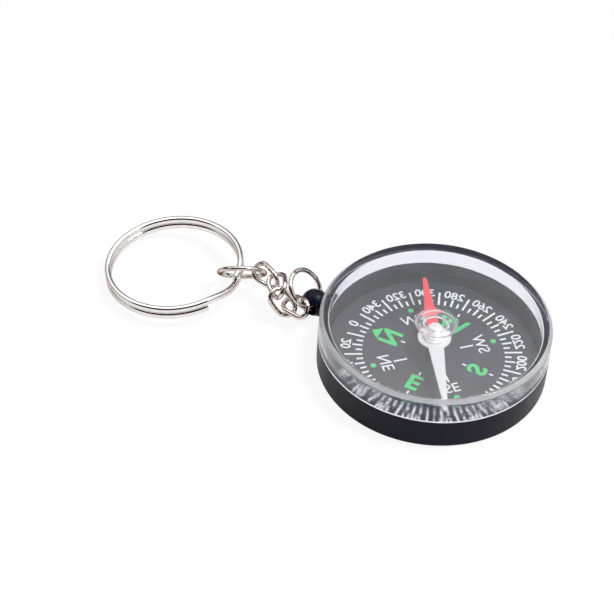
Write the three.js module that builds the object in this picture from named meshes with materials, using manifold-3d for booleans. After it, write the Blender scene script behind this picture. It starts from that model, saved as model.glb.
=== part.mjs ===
// Key-chain compass: a dry compass in a black cup under a thick clear cap, with a chain and a key ring.
// Millimetres and degrees, +Z up. The origin is the middle of the cup's underside.
// The lug points along -X.

import * as THREE from 'three';
import { mergeVertices } from 'three/addons/utils/BufferGeometryUtils.js';
import Module from 'manifold-3d';

const wasm = await Module();
wasm.setup();

// Cup
const caseDiameter = 40;
const seamHeight = 5.7; // the cup's rim, where the cap begins
const caseDraft = 0.1; // how much smaller the radius is at the underside
const underFillet = 0.75;
const caseWall = 1.5;
const floorThickness = 1.5;
const stepWidth = 0.75; // the step in the rim that takes the cap's skirt
const stepDepth = 1.85;
const postDiameter = 2.4; // the post that holds the pivot pin
const postHeight = 1.9;

// Clear cap
const overallHeight = 10.9;
const lensPlate = 1.6;
const lensEdgeRadius = 0.8;
const lensInnerFillet = 0.2;
const lensChamfer = 0.35; // bevel along the seam
const glueLine = 0.05;
const bossDiameter = 6.7; // ring moulded under the middle of the cap
const bossBore = 4.1;
const bossHeight = 1;

// Dial card
const cardThickness = 0.4;
const cardEdgeGap = 0.2;

// Pivot, needle and bearing cap
const pinDiameter = 0.9;
const pinPointLength = 2.2;
const pinSink = 1.4; // length of pin inside the post
const fitGap = 0.15;
const needleThickness = 0.3;
const needleHeight = 5.7; // underside of the blade
const needleHeading = 123; // where the red end points
const hubDiameter = 5.75;
const redReach = 15; // from the pivot to the tip
const redRootWidth = 2.5;
const redTipWidth = 0.8;
const whiteReach = 16.4;
const whiteRootWidth = 2.7;
const whiteTipWidth = 0.8;
const capBodyDiameter = 2.6;
const capFlangeDiameter = 3.8;
const capFlangeThickness = 0.4;
const capLip = 0.4; // how far the bearing cap reaches below the blade
const capEdgeRadius = 0.3;
const capRoof = 0.45; // metal left above the bearing cone
const coneMouthDiameter = 1.6;
const capToLensGap = 0.95; // keeps the needle on its point when the compass is turned over

// Lug
const lugDiameter = 4.8; // the round knob
const lugNeckDiameter = 4.2;
const lugReach = 3.05; // from the cup's wall to the middle of the knob
const lugHeight = 3.5; // the lug's axis
const lugHoleReach = 2.9; // from the cup's wall to the middle of the hole
const lugHoleClearance = 0.34;

// Jump rings
const jumpWire = 0.82;
const jumpCut = 0.3; // width of the saw cut that the ring is opened at
const caseRingDiameter = 7.8;
const caseRingTilt = 45.3;
const caseRingCutAngle = 180;
const keyRingDiameter = 8.85;
const keyRingHeading = 119;
const keyRingTilt = 53;
const keyRingCutAngle = 20;

// Chain links
const linkLength = 6.2;
const linkWidth = 4;
const linkWire = 0.82;
const linkTwist = 50; // turn from one end of a link to the other

// Key ring, wound from flat wire
const splitDiameter = 24.5;
const splitWireWidth = 1.05;
const splitWireHeight = 1.05;
const splitWireBevel = 0.3;
const splitCoilGap = 0.46;
const splitStartAngle = 155;
const splitJogAngle = 36; // where the wire passes from the upper coil to the lower one
const splitHeading = 210;
const splitTilt = 7.5;

// How the slack chain lies. A seat is the step from the eye of the piece before to the eye of this one.
const linkLay = [
  { heading: 162, slope: 13, roll: -36, seat: [0.1, -0.58, 0.02] },
  { heading: -176, slope: -47, roll: -50, seat: [-0.85, -0.65, -0.7] },
  { heading: 131, slope: 3, roll: -41, seat: [-0.5, 1.1, 1] },
  { heading: 164, slope: -2, roll: -68, seat: [-1.25, 0.25, -0.4] },
];
const firstLinkAngle = -65; // where the first link hangs on the lug's ring
const keyRingAngle = -121; // where the key side's ring passes through the last link
const keyRingSeat = [-0.05, 0.15, 0.2];
const splitSeatAngle = 170; // where the key ring passes through its jump ring
const splitSeat = [-0.4, -0.15, 0.65];

// Fineness of the curved surfaces
const caseSegments = 64;
const smallSegments = 24;
const cornerSteps = 3;
const wireSides = 8;
const linkSteps = 28;
const jumpSteps = 40;
const splitStepsPerTurn = 40;

// Sizes that follow from the ones above
const caseRadius = caseDiameter / 2;
const cavityRadius = caseRadius - caseWall;
const lensUnderside = overallHeight - lensPlate;
const cardTop = floorThickness + glueLine + cardThickness;
const postTop = floorThickness + postHeight;
const pinFoot = postTop - pinSink;
const capTop = lensUnderside - capToLensGap;
const coneTop = capTop - capRoof;
const bladeTop = needleHeight + needleThickness;
const lugHole = new THREE.Vector3(-caseRadius - lugHoleReach, 0, lugHeight);
const caseRingRadius = (caseRingDiameter - jumpWire) / 2;
const caseRingRise = caseRingRadius - Math.sqrt(caseRingRadius ** 2 - (lugDiameter / 2) ** 2);
const keyRingRadius = (keyRingDiameter - jumpWire) / 2;
const lugHoleRadius = jumpWire / 2 + caseRingRise / 2 + lugHoleClearance;
const linkBend = (linkWidth - linkWire) / 2;
const linkStraight = (linkLength - linkWidth) / 2; // half of a link's straight side
const splitRadius = (splitDiameter - splitWireWidth) / 2;
const splitPitch = splitWireHeight + splitCoilGap;

const radians = THREE.MathUtils.degToRad;

// A geometry with shared corners, no collapsed triangles and its faces pointing out
function closed(geometry) {
  geometry.deleteAttribute('normal');
  geometry.deleteAttribute('uv');
  const merged = mergeVertices(geometry);
  const corner = merged.index.array;
  const at = (i) => new THREE.Vector3().fromBufferAttribute(merged.attributes.position, i);
  const kept = [];
  let volume = 0;
  for (let i = 0; i < corner.length; i += 3) {
    const [a, b, c] = [corner[i], corner[i + 1], corner[i + 2]];
    if (a !== b && b !== c && c !== a) {
      kept.push(a, b, c);
      volume += at(a).dot(at(b).cross(at(c)));
    }
  }
  merged.setIndex(volume > 0 ? kept : kept.reverse());
  merged.computeVertexNormals();
  return merged;
}

function solid(geometry) {
  const body = closed(geometry);
  const vertProperties = new Float32Array(body.attributes.position.array);
  const triVerts = new Uint32Array(body.index.array);
  return new wasm.Manifold(new wasm.Mesh({ numProp: 3, vertProperties, triVerts }));
}

function geometryOf(manifold) {
  const mesh = manifold.getMesh();
  const geometry = new THREE.BufferGeometry();
  geometry.setAttribute('position', new THREE.BufferAttribute(new Float32Array(mesh.vertProperties), 3));
  geometry.setIndex(Array.from(mesh.triVerts));
  geometry.computeVertexNormals();
  return geometry;
}

// A profile of radius and height, turned about the Z axis
function revolve(profile, segments) {
  return new THREE.LatheGeometry(profile.getPoints(cornerSteps), segments).rotateX(Math.PI / 2);
}

// A wire along a curve. place(t) gives the middle of the wire and the direction of its section's height,
// and section lists the section's points as [across, up].
function sweep(place, steps, section, loops) {
  const rings = loops ? steps : steps + 1;
  const positions = [];
  for (let i = 0; i < rings; i += 1) {
    const t = i / steps;
    const { centre, up } = place(t);
    const before = place(t - 0.001).centre;
    const along = place(t + 0.001).centre.sub(before).normalize();
    const across = new THREE.Vector3().crossVectors(along, up).normalize();
    const square = new THREE.Vector3().crossVectors(across, along);
    for (const [x, y] of section) {
      const point = centre.clone().addScaledVector(across, x).addScaledVector(square, y);
      positions.push(point.x, point.y, point.z);
    }
  }
  const sides = section.length;
  const index = [];
  for (let i = 0; i < steps; i += 1) {
    const here = i * sides;
    const next = ((i + 1) % rings) * sides;
    for (let j = 0; j < sides; j += 1) {
      const k = (j + 1) % sides;
      index.push(here + j, next + j, next + k, here + j, next + k, here + k);
    }
  }
  if (!loops) {
    const last = steps * sides;
    for (let j = 1; j < sides - 1; j += 1) {
      index.push(0, j, j + 1, last, last + j + 1, last + j);
    }
  }
  const geometry = new THREE.BufferGeometry();
  geometry.setAttribute('position', new THREE.Float32BufferAttribute(positions, 3));
  geometry.setIndex(index);
  return geometry;
}

function roundSection(diameter) {
  const points = [];
  for (let i = 0; i < wireSides; i += 1) {
    const angle = (2 * Math.PI * (i + 0.5)) / wireSides;
    points.push([(diameter / 2) * Math.cos(angle), (diameter / 2) * Math.sin(angle)]);
  }
  return points;
}

function flatSection(width, height, bevel) {
  const [x, y] = [width / 2, height / 2];
  return [
    [x, -y + bevel], [x, y - bevel], [x - bevel, y], [-x + bevel, y],
    [-x, y - bevel], [-x, -y + bevel], [-x + bevel, -y], [x - bevel, -y],
  ];
}

// Cup with its rim step, its post and its pin hole
function cupProfile() {
  const footRadius = caseRadius - caseDraft;
  const stepRadius = cavityRadius + stepWidth;
  const pinHoleRadius = pinDiameter / 2 + fitGap;
  const profile = new THREE.Path();
  profile.moveTo(0, 0);
  profile.lineTo(footRadius - underFillet, 0);
  profile.absarc(footRadius - underFillet, underFillet, underFillet, -Math.PI / 2, 0, false);
  profile.lineTo(caseRadius, seamHeight);
  profile.lineTo(stepRadius, seamHeight);
  profile.lineTo(stepRadius, seamHeight - stepDepth);
  profile.lineTo(cavityRadius, seamHeight - stepDepth);
  profile.lineTo(cavityRadius, floorThickness);
  profile.lineTo(postDiameter / 2, floorThickness);
  profile.lineTo(postDiameter / 2, postTop);
  profile.lineTo(pinHoleRadius, postTop);
  profile.lineTo(pinHoleRadius, pinFoot);
  profile.lineTo(0, pinFoot);
  return profile;
}

// Round knob on a short neck, turned about the X axis, that grows out of the cup's wall
function lugKnob() {
  const radius = lugDiameter / 2;
  const neck = lugNeckDiameter / 2;
  const root = caseRadius - caseWall / 2;
  const profile = new THREE.Path();
  profile.moveTo(0, root);
  profile.lineTo(neck, root);
  profile.absarc(0, caseRadius + lugReach, radius, -Math.acos(neck / radius), Math.PI / 2, false);
  return revolve(profile, smallSegments).rotateY(-Math.PI / 2).translate(0, 0, lugHeight);
}

// Cup with its lug, which is bored from side to side for the first jump ring
function baseCase() {
  const hole = new THREE.CylinderGeometry(lugHoleRadius, lugHoleRadius, lugDiameter * 2, smallSegments);
  hole.translate(lugHole.x, lugHole.y, lugHole.z);
  const lug = solid(lugKnob()).subtract(solid(hole));
  return geometryOf(solid(revolve(cupProfile(), caseSegments)).add(lug));
}

// Clear cap: top plate with the boss ring, thick wall, and a skirt that drops into the cup's rim
function lensCover() {
  const seam = seamHeight + glueLine;
  const skirtRadius = cavityRadius + stepWidth - glueLine;
  const skirtFoot = seamHeight - stepDepth + glueLine;
  const profile = new THREE.Path();
  profile.moveTo(0, lensUnderside);
  profile.lineTo(bossBore / 2, lensUnderside);
  profile.lineTo(bossBore / 2, lensUnderside - bossHeight);
  profile.lineTo(bossDiameter / 2, lensUnderside - bossHeight);
  profile.lineTo(bossDiameter / 2, lensUnderside);
  const filletMiddle = cavityRadius - lensInnerFillet;
  profile.absarc(filletMiddle, lensUnderside - lensInnerFillet, lensInnerFillet, Math.PI / 2, 0, true);
  profile.lineTo(cavityRadius, skirtFoot);
  profile.lineTo(skirtRadius, skirtFoot);
  profile.lineTo(skirtRadius, seam);
  profile.lineTo(caseRadius - lensChamfer, seam);
  profile.lineTo(caseRadius, seam + lensChamfer);
  const edgeMiddle = caseRadius - lensEdgeRadius;
  profile.absarc(edgeMiddle, overallHeight - lensEdgeRadius, lensEdgeRadius, 0, Math.PI / 2, false);
  profile.lineTo(0, overallHeight);
  return closed(revolve(profile, caseSegments));
}

function dialCard() {
  const foot = floorThickness + glueLine;
  const inner = postDiameter / 2 + fitGap;
  const outer = cavityRadius - cardEdgeGap;
  const profile = new THREE.Path();
  profile.moveTo(inner, foot);
  profile.lineTo(outer, foot);
  profile.lineTo(outer, cardTop);
  profile.lineTo(inner, cardTop);
  profile.lineTo(inner, foot);
  return closed(revolve(profile, caseSegments));
}

function pivotPin() {
  const point = coneTop - fitGap;
  const profile = new THREE.Path();
  profile.moveTo(0, pinFoot + glueLine);
  profile.lineTo(pinDiameter / 2, pinFoot + glueLine);
  profile.lineTo(pinDiameter / 2, point - pinPointLength);
  profile.lineTo(0, point);
  return closed(revolve(profile, smallSegments));
}

// Stamped blade along X, the red arm towards +X: two tapered arms with round tips on a round middle
function needleBlade() {
  const hub = hubDiameter / 2;
  const redTip = redTipWidth / 2;
  const whiteTip = whiteTipWidth / 2;
  const redRoot = Math.asin(redRootWidth / hubDiameter);
  const whiteRoot = Math.asin(whiteRootWidth / hubDiameter);
  const outline = new THREE.Shape();
  outline.absarc(0, 0, hub, redRoot, Math.PI - whiteRoot, false);
  outline.absarc(whiteTip - whiteReach, 0, whiteTip, Math.PI / 2, 1.5 * Math.PI, false);
  outline.absarc(0, 0, hub, Math.PI + whiteRoot, 2 * Math.PI - redRoot, false);
  outline.absarc(redReach - redTip, 0, redTip, -Math.PI / 2, Math.PI / 2, false);
  const eye = new THREE.Path();
  eye.absarc(0, 0, capBodyDiameter / 2 + fitGap, 0, 2 * Math.PI, true);
  outline.holes.push(eye);
  const blade = new THREE.ExtrudeGeometry(outline, {
    depth: needleThickness,
    bevelEnabled: false,
    curveSegments: smallSegments / 2,
  });
  return closed(blade.translate(0, 0, needleHeight));
}

// Turned bearing cap: a flange on the blade, a body through its eye, and a cone over the pin's point
function needleCap() {
  const body = capBodyDiameter / 2;
  const foot = needleHeight - capLip;
  const flangeFoot = bladeTop + glueLine;
  const flangeTop = flangeFoot + capFlangeThickness;
  const profile = new THREE.Path();
  profile.moveTo(0, coneTop);
  profile.lineTo(coneMouthDiameter / 2, foot);
  profile.lineTo(body, foot);
  profile.lineTo(body, flangeFoot);
  profile.lineTo(capFlangeDiameter / 2, flangeFoot);
  profile.lineTo(capFlangeDiameter / 2, flangeTop);
  profile.lineTo(body, flangeTop);
  const edgeMiddle = body - capEdgeRadius;
  profile.absarc(edgeMiddle, capTop - capEdgeRadius, capEdgeRadius, 0, Math.PI / 2, false);
  profile.lineTo(0, capTop);
  return closed(revolve(profile, smallSegments));
}

// Round ring of wire in the XY plane, cut through at one angle
function jumpRing(radius, cutAngle) {
  const cut = jumpCut / radius;
  const start = radians(cutAngle) + cut / 2;
  const up = new THREE.Vector3(0, 0, 1);
  const place = (t) => {
    const angle = start + t * (2 * Math.PI - cut);
    const centre = new THREE.Vector3(radius * Math.cos(angle), radius * Math.sin(angle), 0);
    return { centre, up };
  };
  return closed(sweep(place, jumpSteps, roundSection(jumpWire), false));
}

// One curb link along X: straight sides and round ends, twisted about its length
function chainLink() {
  const halfEnd = (Math.PI * linkBend) / 2;
  const perimeter = 4 * linkStraight + 4 * halfEnd;
  const reach = linkStraight + linkBend;
  const flatPoint = (length) => {
    const end = length < perimeter / 2 ? 1 : -1;
    const run = (length % (perimeter / 2)) - linkStraight;
    if (run < 0) {
      return [end * (run + linkStraight), -end * linkBend];
    }
    if (run > 2 * halfEnd) {
      return [end * (linkStraight + 2 * halfEnd - run), end * linkBend];
    }
    const bend = run / linkBend - Math.PI / 2;
    return [end * (linkStraight + linkBend * Math.cos(bend)), end * linkBend * Math.sin(bend)];
  };
  const place = (t) => {
    const [x, y] = flatPoint(THREE.MathUtils.euclideanModulo(t, 1) * perimeter);
    const turn = (radians(linkTwist) * x) / (2 * reach);
    const centre = new THREE.Vector3(x, y * Math.cos(turn), y * Math.sin(turn));
    const up = new THREE.Vector3(0, -Math.sin(turn), Math.cos(turn));
    return { centre, up };
  };
  return closed(sweep(place, linkSteps, roundSection(linkWire), true));
}

// Key ring: one wire that runs round on the upper coil, steps down past its own start, and runs round again
function splitRing() {
  const coil = 360 - splitJogAngle;
  const turn = 360 + coil;
  const steps = Math.round((splitStepsPerTurn * turn) / 360);
  const up = new THREE.Vector3(0, 0, 1);
  const place = (t) => {
    const run = t * turn;
    const angle = radians(splitStartAngle + run);
    const drop = THREE.MathUtils.smoothstep(run, coil, 360);
    const height = splitPitch * (0.5 - drop);
    const centre = new THREE.Vector3(splitRadius * Math.cos(angle), splitRadius * Math.sin(angle), height);
    return { centre, up };
  };
  const section = flatSection(splitWireWidth, splitWireHeight, splitWireBevel);
  const geometry = sweep(place, steps, section, false);
  const gap = leastSelfGap(geometry, section.length, splitStepsPerTurn / 2);
  console.log(`split_ring: least gap between its coils ${gap.toFixed(2)} mm`);
  return closed(geometry);
}

// Least distance between points of a swept wire that lie at least apart steps from each other
function leastSelfGap(geometry, sides, apart) {
  const position = geometry.attributes.position;
  const points = [];
  for (let i = 0; i < position.count; i += 1) {
    points.push(new THREE.Vector3().fromBufferAttribute(position, i));
  }
  let least = Infinity;
  points.forEach((point, i) => {
    for (let j = i + apart * sides; j < points.length; j += 1) {
      least = Math.min(least, point.distanceTo(points[j]));
    }
  });
  return least;
}

const blackPlastic = { color: 0x1b1c20, roughness: 0.38, metalness: 0 };
const clearAcrylic = { color: 0xf2f5f5, roughness: 0.04, metalness: 0, transparent: true, opacity: 0.3 };
const printedCard = { color: 0x4a4d50, roughness: 0.7, metalness: 0 };
const needlePaint = { color: 0xd8262c, roughness: 0.4, metalness: 0 };
const capMetal = { color: 0xd9d6cc, roughness: 0.35, metalness: 0.6 };
const pinSteel = { color: 0xb9bcc0, roughness: 0.25, metalness: 1 };
const nickel = { color: 0xc9c2bd, roughness: 0.16, metalness: 1 };

function piece(name, geometry, finish) {
  const mesh = new THREE.Mesh(geometry, new THREE.MeshStandardMaterial(finish));
  mesh.name = name;
  return mesh;
}

function turnOf(heading, slope, roll) {
  return new THREE.Euler(radians(roll), radians(slope), radians(heading), 'ZYX');
}

// The point of a ring's wire at an angle, as a step from the ring's middle
function ringStep(radius, angle, turn) {
  return new THREE.Vector3(radius, 0, 0).applyEuler(new THREE.Euler(0, 0, radians(angle))).applyEuler(turn);
}

function needle() {
  const group = new THREE.Group();
  group.rotation.z = radians(needleHeading);
  group.add(piece('needle_blade', needleBlade(), needlePaint));
  group.add(piece('needle_cap', needleCap(), capMetal));
  return group;
}

// Chain from the lug to the key ring. Every piece is seated in the eye of the one before it.
function chain() {
  const group = new THREE.Group();
  group.position.copy(lugHole);

  const caseRing = piece('case_jump_ring', jumpRing(caseRingRadius, caseRingCutAngle), nickel);
  caseRing.rotation.copy(turnOf(0, caseRingTilt, 0));
  caseRing.position.copy(ringStep(caseRingRadius - caseRingRise / 2, 180, caseRing.rotation));
  group.add(caseRing);

  let eye = ringStep(caseRingRadius, firstLinkAngle, caseRing.rotation).add(caseRing.position);
  linkLay.forEach(({ heading, slope, roll, seat }, i) => {
    const link = piece(`chain_link_${i + 1}`, chainLink(), nickel);
    link.rotation.copy(turnOf(heading, slope, roll));
    const half = new THREE.Vector3(linkStraight, 0, 0).applyEuler(link.rotation);
    link.position.copy(eye).add(new THREE.Vector3(...seat)).add(half);
    eye = link.position.clone().add(half);
    group.add(link);
  });

  const keyRing = piece('key_jump_ring', jumpRing(keyRingRadius, keyRingCutAngle), nickel);
  keyRing.rotation.copy(turnOf(keyRingHeading, keyRingTilt, 0));
  keyRing.position.copy(eye).add(new THREE.Vector3(...keyRingSeat));
  keyRing.position.sub(ringStep(keyRingRadius, keyRingAngle, keyRing.rotation));
  group.add(keyRing);

  const split = piece('split_ring', splitRing(), nickel);
  split.rotation.copy(turnOf(splitHeading, splitTilt, 0));
  split.position.copy(keyRing.position).add(new THREE.Vector3(...splitSeat));
  split.position.sub(ringStep(splitRadius, splitSeatAngle, split.rotation));
  group.add(split);
  return group;
}

const compass = new THREE.Group();
compass.add(piece('base_case', baseCase(), blackPlastic));
compass.add(piece('dial_card', dialCard(), printedCard));
compass.add(piece('pivot_pin', pivotPin(), pinSteel));
compass.add(piece('lens_cover', lensCover(), clearAcrylic));
compass.add(needle());
compass.add(chain());

export default compass;
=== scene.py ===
"""Looks of a key-chain compass: black cup, clear cap, printed dial, needle, slack chain and key ring.

Sizes are millimetres and angles are degrees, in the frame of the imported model. They become metres, by MM,
where Blender takes them. Colours are linear red, green and blue.
"""

import math

import bmesh
import bpy
import numpy as np
from mathutils import Matrix, Quaternion, Vector


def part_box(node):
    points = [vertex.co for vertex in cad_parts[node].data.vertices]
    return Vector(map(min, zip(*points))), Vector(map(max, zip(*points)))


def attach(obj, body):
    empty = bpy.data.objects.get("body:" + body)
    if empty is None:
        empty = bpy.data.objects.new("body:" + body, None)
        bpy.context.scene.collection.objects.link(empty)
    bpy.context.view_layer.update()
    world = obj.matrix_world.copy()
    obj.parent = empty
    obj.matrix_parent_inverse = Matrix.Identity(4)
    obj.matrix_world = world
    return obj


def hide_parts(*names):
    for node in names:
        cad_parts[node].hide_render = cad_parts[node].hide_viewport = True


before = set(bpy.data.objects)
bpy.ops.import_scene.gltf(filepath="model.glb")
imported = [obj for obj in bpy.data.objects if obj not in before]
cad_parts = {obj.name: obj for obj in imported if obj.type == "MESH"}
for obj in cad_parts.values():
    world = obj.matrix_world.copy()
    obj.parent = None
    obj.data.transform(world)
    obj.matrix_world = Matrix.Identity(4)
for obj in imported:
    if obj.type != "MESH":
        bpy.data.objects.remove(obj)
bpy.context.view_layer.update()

MM = 0.001

# Camera, from the perspective of the photograph
CAMERA_PLACE = (137.21, -348.34, 360.12)
CAMERA_AIM = (-25.27, 1.69, 0)
CAMERA_ROLL = 4.75
CAMERA_NEAREST = 10
FOCAL_PIXELS = 3000
PICTURE_WIDTH = 614
SENSOR_WIDTH = 36

# Fineness and tolerances of the curved surfaces
TURN_SEGMENTS = 224
SMALL_SEGMENTS = 96
CORNER_STEPS = 8
OUTLINE_STEPS = 24
SUPPORT_GAP = 0.03
LONG_RUN = 6 * SUPPORT_GAP
SHARP_ANGLE = 32
WELD_DISTANCE = 1e-5
ON_AXIS = 1e-6
WIRE_TANGENT = 1e-4

# Cup and lug
CUP_DRAFT = 0.1
CUP_FOOT_FILLET = 0.75
CUP_WALL = 1.5
CUP_FLOOR = 1.5
CUP_RIM_FILLET = 0.12
STEP_WIDTH = 0.75
STEP_DEPTH = 1.85
POST_DIAMETER = 2.4
POST_HEIGHT = 1.9
LUG_DIAMETER = 4.8
LUG_NECK = 4.2
LUG_FLARE = 0.4
LUG_REACH = 3.05
LUG_HEIGHT = 3.5
LUG_HOLE = 2.46
LUG_HOLE_REACH = 2.9
LUG_SINK = 0.9
LUG_BELOW_RIM = 0.03

# Clear cap
LENS_PLATE = 1.6
LENS_BEVEL = 0.67
LENS_BEVEL_ROUND = 0.25
LENS_INNER_FILLET = 0.2
LENS_CHAMFER = 0.06
LENS_GLUE_OVERLAP = 0.01
LENS_OPEN_SEAM = 0.72
LENS_SEAM_GAP = 0.04
BOSS_DIAMETER = 6.7
BOSS_BORE = 4.1
BOSS_HEIGHT = 1
BOSS_EDGE = 0.4

# How the faces of the clear cap are told apart. The first two are the Z of a face's normal.
STEEP_BELOW = 0.5
LEVEL_ABOVE = 0.9
PLATE_ABOVE_SEAM = 1

# Dial print. The photograph shows it mirrored, and so is this print: False makes it read normally.
MIRRORED = True
NORTH_AZIMUTH = 182.4
PRINT_OFFSET = (0.13, 0.22)
CARD_FIT = 0.15
INK_DEPTH = 0.03
INK_SINK = INK_DEPTH / 3
TICK_STEP = 5
LONG_TICK_STEP = 10
TICK_START = 12.35
TICK_WIDTH = 0.37
SHORT_TICK_END = 13.5
MEDIUM_TICK_END = 14.1
LONG_TICK_END = 15.5
NUMBER_STEP = 20
NUMBER_RADIUS = 15.25
NUMBER_HEIGHT = 1.8
NUMBER_BOLD = 0.018
CARDINAL_RADIUS = 8.2
CARDINAL_HEIGHT = 3.6
CARDINAL_BOLD = 0.03
BETWEEN_RADIUS = 8.8
BETWEEN_HEIGHT = 2.1
BETWEEN_BOLD = 0.004
ARROW_BASE = 10.2
ARROW_TIP = 11.75
ARROW_WIDTH = 2.9
DASH_WIDTH = 0.34
CARDINAL_DASHES = ((5.4, 6.2), (10.45, 11.2))
BETWEEN_DASH = (4.9, 7.35)
DOT_RADIUS = 11.1
DOT_DIAMETER = 1

# Needle and bearing cap. The closing side of the needle's hole takes the rest of the turn.
NEEDLE_HEADING = 123
NEEDLE_BEVEL = 0.06
NEEDLE_BEVEL_STEPS = 3
NEEDLE_HOLE_SWEEP = 345
HUB_DIAMETER = 5.75
RED_REACH = 15
RED_ROOT = 2.5
RED_TIP = 0.8
RED_START = 1.6
WHITE_REACH = 16.4
WHITE_ROOT = 2.7
WHITE_TIP = 0.8
CAP_BODY = 2.6
CAP_FLANGE = 3.8
CAP_FLANGE_THICKNESS = 0.4
CAP_FLANGE_EDGE = 0.1
CAP_EDGE = 0.3
CAP_FIT = 0.15
CAP_SEAT_GAP = 0.05
CAP_ROOF = 0.45
CONE_MOUTH = 1.6

# Wire pieces
WIRE_SIDES = 28
LINK_STEPS = 144
RING_STEPS = 160
SPLIT_STEPS = 420
LINK_COUNT = 4
LINK_LENGTH = 6.2
LINK_WIDTH = 4
LINK_WIRE = 0.82
LINK_TWIST = 50
CASE_JUMP_DIAMETER = 7.8
KEY_JUMP_DIAMETER = 8.85
JUMP_WIRE = 0.82
JUMP_CUT = 0.3
SPLIT_DIAMETER = 24.5
SPLIT_WIRE_WIDTH = 1.05
SPLIT_WIRE_HEIGHT = 1.22
SPLIT_WIRE_CORNER = 0.45
SPLIT_COIL_GAP = 0.04
SPLIT_JOG = 36
WIRE_END_CHAMFER = 0.1

# How the wires of the CAD model are read
POINT_DECIMALS = 4
SINGLE_COIL_SHARE = 0.75

# Surfaces. A pair of colours or values is what a blotchy surface varies between. A blend is the stretch of
# noise over which it does so, a grain is a blotch's size, and a relief is a depth and a strength.
COLOUR_BLEND = (0.35, 0.65)
VALUE_BLEND = (0.3, 0.7)
PLASTIC_COLOURS = ((0.0027, 0.0025, 0.011), (0.0045, 0.0043, 0.0138))
PLASTIC_ROUGHNESS = (0.3, 0.44)
PLASTIC_SPECULAR = 0.14
PLASTIC_CLOUDS = 5
PLASTIC_GRAIN = 0.22
PLASTIC_RELIEF = (0.02, 0.22)
ACRYLIC_COLOUR = (0.95, 0.955, 1)
ACRYLIC_ROUGHNESS = 0.01
ACRYLIC_IOR = 1.49
ACRYLIC_GRAIN = 3
SIDE_CLARITY = (0.999, 0.99)
SIDE_GLARE_TINT = (0.3, 0.35, 0.5)
PLATE_CLARITY = (0.98, 0.965)
PLATE_ROUGHNESS = (0.004, 0.02)
WALL_CLARITY = (0.998, 0.988)
GROOVE_LENGTH = 2.5
GROOVE_PITCH = 0.16
GROOVE_RELIEF = (0.026, 1)
MOULDED_CLARITY = (0.88, 0.8)
MOULDED_ROUGHNESS = 0.08
BEVEL_CLARITY = (0.66, 0.56)
BEVEL_ROUGHNESS = 0.35
CARD_COLOURS = ((0.010, 0.010, 0.017), (0.016, 0.016, 0.025))
CARD_BLEND = (0.35, 0.685)
CARD_ROUGHNESS = 0.6
CARD_SPECULAR = 0.35
CARD_GRAIN = 0.45
CARD_RELIEF = (0.01, 0.25)
DUST_SHARE = 0.76
DUST_COLOUR = (0.3, 0.3, 0.32)
WHITE_INK_COLOURS = ((0.84, 0.84, 0.85), (0.9, 0.9, 0.91))
GREEN_INK_COLOURS = ((0.02, 0.56, 0.13), (0.035, 0.66, 0.17))
INK_ROUGHNESS = 0.5
INK_GRAIN = 0.3
INK_RELIEF = (0.006, 0.2)
RED_ENAMEL_COLOURS = ((0.8, 0.046, 0.054), (0.9, 0.058, 0.066))
WHITE_ENAMEL_COLOURS = ((0.72, 0.72, 0.73), (0.78, 0.78, 0.79))
ENAMEL_ROUGHNESS = (0.28, 0.4)
ENAMEL_GRAIN = 0.5
ENAMEL_RELIEF = (0.01, 0.12)
CAP_COLOURS = ((0.9, 0.87, 0.82), (0.95, 0.92, 0.88))
CAP_ROUGHNESS = (0.3, 0.42)
PIN_COLOURS = ((0.5, 0.5, 0.52), (0.62, 0.62, 0.64))
PIN_ROUGHNESS = (0.2, 0.34)
# The chain's nickel is warmer than the key ring's, and also darker: painted shade where the links lie in
# each other's shadow.
CHAIN_COLOURS_WITH_PAINTED_SHADE = ((0.67, 0.6, 0.55), (0.82, 0.765, 0.715))
CHAIN_ROUGHNESS = (0.05, 0.12)
SPLIT_COLOURS = ((0.86, 0.82, 0.79), (0.93, 0.9, 0.88))
SPLIT_ROUGHNESS = (0.03, 0.08)
METAL_GRAIN = 0.7
METAL_RELIEF = (0.012, 0.03)
PALE_EDGE_TINT = (0.55, 0.5, 0.47)
# The chain's dark edge tint is painted shade as well.
PAINTED_SHADE_EDGE_TINT = (0.22, 0.16, 0.13)

# Studio. A zone is an azimuth, an elevation, and the angles from there at which it is full and gone.
WHITE = (1, 1, 1)
FLOOR_SIZE = 4000
FLOOR_DROP = 0.02
FLOOR_COLOUR = (0.97, 0.97, 0.97)
FLOOR_GLOW = 0.9
TABLE_COLOUR = (0.82, 0.8, 0.83)
TABLE_GLOW = 0.5
FILL_LEVEL = 0.52
KEY_DISTANCE = 480
KEY_SIZE = 130
KEY_POWER = 1.5
KEY_DIRECTION = (0.33, 0.177, 0.927)
DARK_ZONE = (-76, 22, 54, 63)
DARK_COLOUR = (0.03, 0.02, 0.018)
HORIZON_DARK = 17
HORIZON_WHITE = 28
HORIZON_COLOUR = (0.07, 0.05, 0.042)
SOFTBOX_ZONE = (115, 75, 30, 36)
SOFTBOX_LEVEL = 1.8
FAR_ZONE = (112, 22, 19, 23.5)
FAR_COLOUR = (0.2, 0.21, 0.3)


def top_of(node):
    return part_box(node)[1].z / MM


def foot_of(node):
    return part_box(node)[0].z / MM


def reach_of(node):
    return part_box(node)[1].x / MM


CASE_RADIUS = reach_of("base_case")
SEAM_HEIGHT = top_of("base_case")
OVERALL_HEIGHT = top_of("lens_cover")
CARD_TOP = top_of("dial_card")
CARD_FOOT = foot_of("dial_card")
CARD_RADIUS = reach_of("dial_card")
CAVITY_RADIUS = CASE_RADIUS - CUP_WALL
LENS_UNDERSIDE = OVERALL_HEIGHT - LENS_PLATE


# Mesh helpers


def arc(middle, radius, start, end):
    """Points of a round corner in a (radius, height) profile."""
    points = []
    for i in range(CORNER_STEPS + 1):
        angle = math.radians(start + (end - start) * i / CORNER_STEPS)
        points.append((middle[0] + radius * math.cos(angle), middle[1] + radius * math.sin(angle)))
    return points


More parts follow.
